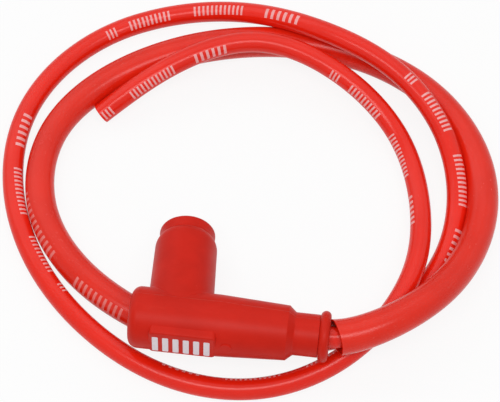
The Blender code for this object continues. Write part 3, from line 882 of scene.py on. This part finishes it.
@dataclass
class Route:
    """The line that the cable follows: straight out of the boot, then through its places."""

    inside: Point = (0.0070, -0.0138, 0.0192)
    leave: Point = (0.0317, -0.0138, 0.0192)
    heading: Point = (1.0, 0.1, 0.0)
    places: tuple[Point, ...] = (
        (0.0444, -0.0095, 0.0193), (0.0598, 0.0022, 0.0175), (0.0724, 0.0222, 0.0105),
        (0.0763, 0.0523, 0.0052), (0.0616, 0.0809, 0.0050), (0.0350, 0.0968, 0.0050),
        (0.0055, 0.1005, 0.0050), (-0.0239, 0.0948, 0.0050), (-0.0495, 0.0813, 0.0050),
        (-0.0682, 0.0582, 0.0047), (-0.0683, 0.0286, 0.0047), (-0.0513, 0.0051, 0.0051),
        (-0.0265, -0.0086, 0.0047), (-0.0120, -0.0122, 0.0036), (0.0100, -0.0118, 0.0035),
        (0.0340, -0.0068, 0.0035), (0.0576, 0.0107, 0.0035), (0.0683, 0.0388, 0.0042),
        (0.0629, 0.0667, 0.0093), (0.0434, 0.0886, 0.0143), (0.0167, 0.1012, 0.0146),
        (-0.0110, 0.1092, 0.0079), (-0.0399, 0.1059, 0.0037), (-0.0648, 0.0896, 0.0035),
        (-0.0792, 0.0639, 0.0035), (-0.0789, 0.0343, 0.0035), (-0.0664, 0.0074, 0.0035),
        (-0.0450, -0.0138, 0.0035), (-0.0186, -0.0265, 0.0035), (0.0111, -0.0274, 0.0043),
        (0.0378, -0.0141, 0.0085), (0.0541, 0.0103, 0.0110), (0.0566, 0.0398, 0.0065),
        (0.0468, 0.0675, 0.0070), (0.0243, 0.0859, 0.0135), (-0.0040, 0.0943, 0.0140),
        (-0.0310, 0.0828, 0.0130), (-0.0541, 0.0659, 0.0038),
    )
    sleeve_radii: tuple[float, ...] = (
        0.0059, 0.0055, 0.0053, 0.0051, 0.0052, 0.0049, 0.0048,
        0.0052, 0.0054, 0.0052, 0.0047, 0.0049, 0.0051, 0.0050,
    )
    cable_radius: float = 0.0035
    sleeve_span: Pair = (0.0017, 0.3565)
    step: float = 0.0005
    ease: float = 0.008
    distance: np.ndarray = field(init=False)
    points: np.ndarray = field(init=False)
    knots: np.ndarray = field(init=False)

    def __post_init__(self) -> None:
        """Works out the line.

        Each span between two places is a cubic whose slopes are shared with its neighbours, so that
        the bend is continuous: the slopes solve one line of three terms for each place.
        """
        places = np.array([self.leave, *self.places])
        lengths = np.linalg.norm(np.diff(places, axis=0), axis=1)
        rise = np.diff(places, axis=0) / lengths[:, None]
        before, after = lengths[:-1], lengths[1:]
        middle = np.concatenate([[1.0], 2.0 * (before + after), [2.0]])
        system = np.diag(middle) + np.diag(np.append(after, 1.0), -1)
        system += np.diag(np.insert(before, 0, 0.0), 1)
        targets = np.concatenate([
            unit(np.array(self.heading))[None],
            3.0 * (after[:, None] * rise[:-1] + before[:, None] * rise[1:]),
            3.0 * rise[-1:],
        ])
        slopes = np.linalg.solve(system, targets)
        self.knots = np.concatenate([[0.0], np.cumsum(lengths)])
        reach = np.arange(0.0, self.knots[-1], self.step)
        span = np.clip(np.searchsorted(self.knots, reach, side="right") - 1, 0, len(lengths) - 1)
        t = ((reach - self.knots[span]) / lengths[span])[:, None]
        curve = (2.0 * t**3 - 3.0 * t**2 + 1.0) * places[span]
        curve += (3.0 * t**2 - 2.0 * t**3) * places[span + 1]
        curve += (t**3 - 2.0 * t**2 + t) * lengths[span, None] * slopes[span]
        curve += (t**3 - t**2) * lengths[span, None] * slopes[span + 1]
        curve = np.concatenate([curve, places[-1:]])
        along = np.concatenate([[0.0], np.cumsum(np.linalg.norm(np.diff(curve, axis=0), axis=1))])
        self.knots = np.interp(self.knots, np.append(reach, self.knots[-1]), along)
        curve[:, 2] = np.maximum(curve[:, 2], self.outer_radius(along))
        entry = np.linspace(self.inside, self.leave, 50)[:-1]
        back = np.linalg.norm(entry - np.array(self.leave), axis=1)
        self.distance = np.concatenate([-back, along])
        self.points = np.concatenate([entry, curve])

    def sleeve_radius(self, along: np.ndarray) -> np.ndarray:
        """Outer radius of the sleeve, eased between its places by a running mean."""
        knots = self.knots[:len(self.sleeve_radii)]
        spread = np.linspace(-self.ease, self.ease, 9)
        inner = np.clip(along[:, None] + spread, knots[0], knots[-1])
        return np.interp(inner, knots, self.sleeve_radii).mean(axis=1)

    def outer_radius(self, along: np.ndarray) -> np.ndarray:
        """Radius of what lies on the ground: the sleeve's where it is, otherwise the cable's."""
        sleeved = (along > self.sleeve_span[0]) & (along < self.sleeve_span[1])
        return np.where(sleeved, self.sleeve_radius(along), self.cable_radius)

    @property
    def end(self) -> float:
        """Distance from the collar to the cut end."""
        return float(self.distance[-1])

    def at(self, along: np.ndarray) -> tuple[np.ndarray, np.ndarray, np.ndarray]:
        """Points of the line, with the directions up and left across it.

        Args:
            along: distances from the collar.

        Returns:
            Points, upward directions and left directions.
        """
        flow = np.gradient(self.points, self.distance, axis=0)
        point, ahead = (
            np.stack([np.interp(along, self.distance, table[:, k]) for k in range(3)], axis=1)
            for table in (self.points, flow)
        )
        ahead = unit(ahead)
        up = unit(np.array([0.0, 0.0, 1.0]) - ahead[:, 2:] * ahead)
        return point, up, np.cross(up, ahead)

    def tube(
        self, along: np.ndarray, radius: np.ndarray, turn: np.ndarray, angles: np.ndarray,
    ) -> np.ndarray:
        """Rings round the line: point + radius (cos up + sin left), at the turn plus each angle."""
        point, up, left = self.at(along)
        around = turn[:, None] + angles
        spoke = np.cos(around)[..., None] * up[:, None] + np.sin(around)[..., None] * left[:, None]
        return point[:, None] + radius[:, None, None] * spoke


@dataclass
class PrintRow:
    """Plain upright bars printed along a cable or sleeve, in groups that repeat.

    A group is its place after the start, its length and its count of bars. The last group is only
    the place where the next start would be, and each repeat is scaled to fit.
    """

    starts: tuple[float, ...]
    groups: tuple[tuple[float, float, int], ...]
    turns: tuple[Pair, ...]
    half_angle: float
    duty: float = 0.46
    angles: int = 48
    spacing: float = 0.0024
    clearance: float = 0.00018
    end_clearance: float = 0.0003
    ease: float = 0.012

    def spans(self) -> np.ndarray:
        """Start and end of every bar along the line.

        Returns:
            An array of pairs.
        """
        pairs = []
        for start, stop in zip(self.starts, self.starts[1:]):
            scale = (stop - start) / self.groups[-1][0]
            for begin, length, count in self.groups[:-1]:
                pitch = length / count
                edges = start + scale * (begin + pitch * np.arange(count))
                pairs.append(np.stack([edges, edges + scale * pitch * self.duty], axis=1))
        return np.concatenate(pairs)

    def stations(self, low: float, high: float) -> np.ndarray:
        """Even stations along the line, with one at each edge of each bar."""
        edges = self.spans().reshape(-1)
        even = np.linspace(low, high, max(2, round((high - low) / self.spacing)))
        apart = np.abs(even[:, None] - edges).min(axis=1) > self.clearance
        apart[0] = apart[-1] = True
        edges = edges[(edges > low + self.end_clearance) & (edges < high - self.end_clearance)]
        return np.sort(np.concatenate([even[apart], edges]))

    def around(self) -> np.ndarray:
        """Angles round the line, from the middle of the print, with one at each edge of it."""
        inside = np.linspace(-self.half_angle, self.half_angle, 9)
        outside = np.linspace(self.half_angle, math.tau - self.half_angle, self.angles - 8 + 1)
        return np.concatenate([inside, outside[1:-1]])

    def turn(self, along: np.ndarray) -> np.ndarray:
        """Turn of the print's middle from straight up, in radians, eased by a running mean."""
        places, degrees = np.array(self.turns).T
        spread = np.linspace(-self.ease, self.ease, 7)
        return np.radians(np.interp(along[:, None] + spread, places, degrees).mean(axis=1))

    def marks(self, stations: np.ndarray, angles: np.ndarray) -> np.ndarray:
        """Material number of each face between two stations and two angles."""
        middle = (stations[:-1] + stations[1:]) / 2.0
        spans = self.spans()
        inked = ((middle[:, None] > spans[:, 0]) & (middle[:, None] < spans[:, 1])).any(axis=1)
        across = (angles + np.append(angles[1:], math.tau - self.half_angle)) / 2.0
        printed = across < self.half_angle
        return np.where(inked[:, None] & printed, Section.PRINT.value, Section.JACKET.value)


@dataclass
class Cable:
    """The ignition cable, with its print and its plainly cut end."""

    route: Route
    insulation_radius: float = 0.0024
    conductor_radius: float = 0.0008
    edge: float = 0.00012
    path_points: int = 221
    print_row: PrintRow = field(default_factory=lambda: PrintRow(
        starts=(
            -0.093, 0.020, 0.132, 0.244, 0.355, 0.4662,
            0.5783, 0.6926, 0.8067, 0.9241, 1.0313, 1.1366,
        ),
        groups=(
            (0.0, 0.0135, 6), (0.0207, 0.0185, 12), (0.0470, 0.0155, 10), (0.0668, 0.0042, 3),
            (0.112, 0.0, 0),
        ),
        turns=(
            (0.0, -60.0), (0.43, -60.0), (0.474, -41.0), (0.497, -28.0), (0.520, -13.0),
            (0.533, -5.0), (0.585, 20.0), (0.609, 21.0), (0.634, 29.0), (0.697, 32.0),
            (0.721, 41.0), (0.746, 50.0), (0.761, 54.0), (0.814, 62.0), (0.859, 60.0),
            (0.920, 58.0), (0.934, 84.0), (0.950, 60.0), (0.988, 60.0), (1.036, 58.0),
            (1.078, 50.0),
        ),
        half_angle=0.49,
    ))

    def make(self, on_it: Sequence[bpy.types.Object]) -> None:
        """Builds and dresses the cable.

        Args:
            on_it: pieces that lie on the cable, such as the sleeve; not used.
        """
        route, row = self.route, self.print_row
        angles = row.around()
        stations = row.stations(float(route.distance[0]), route.end - self.edge)
        radius = np.full(len(stations), route.cable_radius)
        rings = route.tube(stations, radius, row.turn(stations), angles)
        rim = route.cable_radius - self.edge
        cut = np.array([rim, self.insulation_radius, self.conductor_radius])
        end = np.full(len(cut), route.end)
        rings = np.concatenate([rings, route.tube(end, cut, row.turn(end), angles)])
        numbers = (Section.JACKET, Section.JACKET, Section.INSULATION, Section.CONDUCTOR)
        ends = [np.full((1, len(angles)), number.value) for number in numbers]
        marks = np.concatenate([row.marks(stations, angles), *ends])
        stations = np.concatenate([stations, end])
        tips = route.at(np.array([route.distance[0], route.end]))[0]

        piece = SurfacePiece("ignition_cable_jacket")
        piece.add_rings(rings, skin_of(stations, angles), marks=marks, first=tips[0], last=tips[1])
        jacket = (0.82, 0.017, 0.005)
        finishes = (
            ExtrudedFinish("cable_jacket_satin", jacket, (0.77, 0.015, 0.004), 0.17, 0.08),
            InkFinish("cable_print", (0.84, 0.42, 0.42), jacket, 0.85),
            ExtrudedFinish("cable_insulation", (0.62, 0.58, 0.54), (0.55, 0.50, 0.46), 0.45, 0.0),
            MetalFinish("cable_conductor", (0.62, 0.34, 0.20), (0.40, 0.20, 0.12), 0.30),
        )
        cable = piece.build([finish.material() for finish in finishes])
        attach(cable, BODY)
        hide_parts("ignition_cable")
        path = route.at(np.linspace(float(route.distance[0]), route.end, self.path_points))[0]


@dataclass
class Sleeve:
    """The loose sleeve over the first turn of the cable, a thin wall open at both ends."""

    route: Route
    wall: float = 0.0006
    lip: float = 0.0002
    slant: float = 0.0015
    slant_under: float = 0.0005
    slant_reach: float = 0.012
    print_row: PrintRow = field(default_factory=lambda: PrintRow(
        starts=(-0.007, 0.131, 0.273, 0.413),
        groups=(
            (0.0, 0.0150, 6), (0.0250, 0.0250, 12), (0.0600, 0.0195, 10), (0.0850, 0.0055, 3),
            (0.140, 0.0, 0),
        ),
        turns=(
            (0.0, -150.0), (0.220, -135.0), (0.282, -112.0), (0.309, -60.0), (0.338, -56.0),
            (0.40, -50.0),
        ),
        half_angle=0.45,
        angles=56,
        spacing=0.0020,
    ))

    def slanted(self, rings: np.ndarray, along: np.ndarray, around: np.ndarray) -> np.ndarray:
        """Slants the near end, cut askew: its left and underside come closer to the collar.

        Each point slides along the line by slant times the sine of its angle from straight up, and
        the other way by slant_under times its cosine. The slide fades out over the reach.

        Args:
            rings: points, rings by points round by 3.
            along: distance of each ring from the collar.
            around: angle of each point from straight up, rings by points round.

        Returns:
            The moved points.
        """
        up, left = self.route.at(along)[1:]
        fade = np.clip(1.0 - (along - self.route.sleeve_span[0]) / self.slant_reach, 0.0, 1.0) ** 2
        slide = fade[:, None] * (self.slant_under * np.cos(around) - self.slant * np.sin(around))
        return rings + slide[..., None] * np.cross(left, up)[:, None]

    def make(self) -> bpy.types.Object:
        """Builds and dresses the sleeve: its outside, a round lip, its inside, and a lip again."""
        route, row = self.route, self.print_row
        angles = row.around()
        low, high = route.sleeve_span
        stations = row.stations(low + self.lip, high - self.lip)
        outer = route.sleeve_radius(stations)
        turn = row.turn(stations)
        outside = route.tube(stations, outer, turn, angles)
        inside = route.tube(stations[::-1], (outer - self.wall)[::-1], turn[::-1], angles)
        tips = np.array([high, low])
        lips = route.tube(tips, route.sleeve_radius(tips) - self.wall / 2.0, row.turn(tips), angles)
        along = np.concatenate([stations, tips[:1], stations[::-1], tips[1:]])
        rings = np.concatenate([outside, lips[:1], inside, lips[1:]])
        rings = self.slanted(rings, along, row.turn(along)[:, None] + angles)
        marks = np.zeros(rings.shape[:2], dtype=np.int32)
        marks[:len(stations) - 1] = row.marks(stations, angles)

        piece = SurfacePiece("loose_sleeve")
        piece.add_rings(rings, skin_of(along, angles), marks=marks, looped=True)
        base = (0.76, 0.020, 0.006)
        sleeve = piece.build([
            ExtrudedFinish("sleeve_satin", base, (0.70, 0.017, 0.005), 0.19, 0.12).material(),
            InkFinish("sleeve_print", (0.78, 0.22, 0.20), base, 0.75).material(),
        ])
        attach(sleeve, BODY)
        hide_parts("cable_sleeve")
        return sleeve


# What the cap holds

@dataclass
class Innards:
    """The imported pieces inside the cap, which keep their shape and take a finish."""

    resin: tuple[str, ...] = ("insulator_core",)
    brass: tuple[str, ...] = ("plug_socket", "contact_stud", "cable_terminal")
    steel: tuple[str, ...] = (
        "socket_clip", "socket_washer", "resistor_cap_inner", "resistor_cap_outer",
        "contact_spring",
    )
    ceramic: tuple[str, ...] = ("resistor_rod",)

    def dress(self) -> None:
        """Gives each piece its finish."""
        finishes = (
            (self.resin, GrainFinish(
                "dark_resin_moulded", (0.022, 0.016, 0.013), (0.060, 0.048, 0.040),
                scale=2600.0, fineness=0.7, shows_from=0.45, roughness=0.35, unevenness=0.20,
                relief=0.00002,
            )),
            (self.brass, MetalFinish("turned_brass", (0.80, 0.58, 0.25), (0.60, 0.40, 0.16), 0.20)),
            (self.steel, MetalFinish(
                "plated_spring_steel", (0.72, 0.72, 0.70), (0.52, 0.52, 0.50), 0.22,
            )),
            (self.ceramic, GrainFinish(
                "fired_ceramic", (0.80, 0.78, 0.72), (0.66, 0.63, 0.56),
                scale=1800.0, fineness=0.6, shows_from=0.50, roughness=0.38, unevenness=0.15,
                relief=0.00001,
            )),
        )
        for names, finish in finishes:
            material = finish.material()
            for name in names:
                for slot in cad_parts[name].material_slots:
                    slot.material = material
                LOG.info("%s: finish %s", name, material.name)


# The studio

@dataclass
class Studio:
    """Floor, soft lamps and the camera at the photograph's angle."""

    target: Point = (-0.00019, 0.04080, 0.0)
    yaw: float = math.radians(6.68)
    elevation: float = math.radians(63.0)
    distance: float = 0.719
    focal_pixels: float = 2149.0
    sensor: float = 36.0
    floor_size: float = 1.6
    floor_height: float = -0.0002
    floor_lines: int = 41
    world_strength: float = 0.42
    lamps: tuple[tuple[str, float, float, float, float, float, float], ...] = (
        ("front_strip", -83.0, 69.0, 1.1, 1.10, 0.26, 5.8),
        ("back_softbox", 90.0, 62.0, 1.1, 0.80, 0.80, 1.4),
        ("left_softbox", 150.0, 42.0, 1.1, 0.80, 0.80, 1.8),
        ("right_softbox", 30.0, 42.0, 1.1, 0.80, 0.80, 0.6),
    )

    def make(self) -> None:
        """Builds the whole studio."""
        self.add_floor()
        self.add_camera()
        self.add_lamps()
        scene = bpy.context.scene
        scene.view_settings.view_transform = "Standard"
        scene.world = bpy.data.worlds.new("studio_air")
        air = ShaderBench(scene.world)
        strength = air.seen() * (1.0 - self.world_strength) + self.world_strength
        air.dress(Color=(1.0, 1.0, 1.0), Strength=strength)

    def add_floor(self) -> None:
        """A flat sheet of paper just under the part, as a grid of squares."""
        count = self.floor_lines
        side = np.linspace(-self.floor_size / 2.0, self.floor_size / 2.0, count)
        x, y = np.meshgrid(side + self.target[0], side + self.target[1], indexing="ij")
        points = np.stack([x, y, np.full_like(x, self.floor_height)], axis=-1).reshape(-1, 3)
        rows = np.arange(count - 1)
        i, j = (grid.reshape(-1) for grid in np.meshgrid(rows, rows, indexing="ij"))
        first = i * count + j
        faces = np.stack([first, first + count, first + count + 1, first + 1], axis=1)
        mesh = bpy.data.meshes.new("studio_floor")
        mesh.from_pydata(points.tolist(), [], faces.tolist())
        mesh.materials.append(StudioFloorFinish().material())
        floor = linked("studio_floor", mesh)

    def add_camera(self) -> None:
        """The camera looks down at the target from the front, turned a little to the left."""
        right = Vector((math.cos(self.yaw), math.sin(self.yaw), 0.0))
        level = Vector((-math.sin(self.yaw), math.cos(self.yaw), 0.0))
        ahead = level * math.cos(self.elevation) - Vector((0.0, 0.0, math.sin(self.elevation)))
        up = right.cross(ahead)
        lens = bpy.data.cameras.new("photo_camera")
        lens.sensor_width = self.sensor
        lens.sensor_fit = "HORIZONTAL"
        lens.lens = self.focal_pixels / PHOTO_WIDTH * self.sensor
        lens.clip_start = 0.01
        lens.clip_end = 20.0
        camera = linked("photo_camera", lens)
        turn = Matrix((right, up, -ahead)).transposed().to_4x4()
        camera.matrix_world = Matrix.Translation(Vector(self.target) - ahead * self.distance) @ turn
        bpy.context.scene.camera = camera

    def add_lamps(self) -> None:
        """Soft lamps: name, azimuth, elevation, distance, width, height and power of each."""
        for name, azimuth, elevation, away, wide, tall, power in self.lamps:
            lamp = bpy.data.lights.new(name, "AREA")
            lamp.shape = "RECTANGLE"
            lamp.size = wide
            lamp.size_y = tall
            lamp.energy = power
            turn, rise = math.radians(azimuth), math.radians(elevation)
            level = math.cos(rise)
            towards = Vector((level * math.cos(turn), level * math.sin(turn), math.sin(rise)))
            lit = linked(name, lamp)
            lit.location = Vector(self.target) + towards * away
            lit.rotation_euler = towards.to_track_quat("Z", "Y").to_euler()


def main() -> None:
    """Builds the studio, sleeve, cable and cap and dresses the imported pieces."""
    logging.basicConfig(level=logging.INFO, format="%(name)s: %(message)s")
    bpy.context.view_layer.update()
    Studio().make()
    route = Route()
    sleeve = Sleeve(route).make()
    Cable(route).make([sleeve])
    Boot().make()
    Innards().dress()


if __name__ == "__main__":
    main()
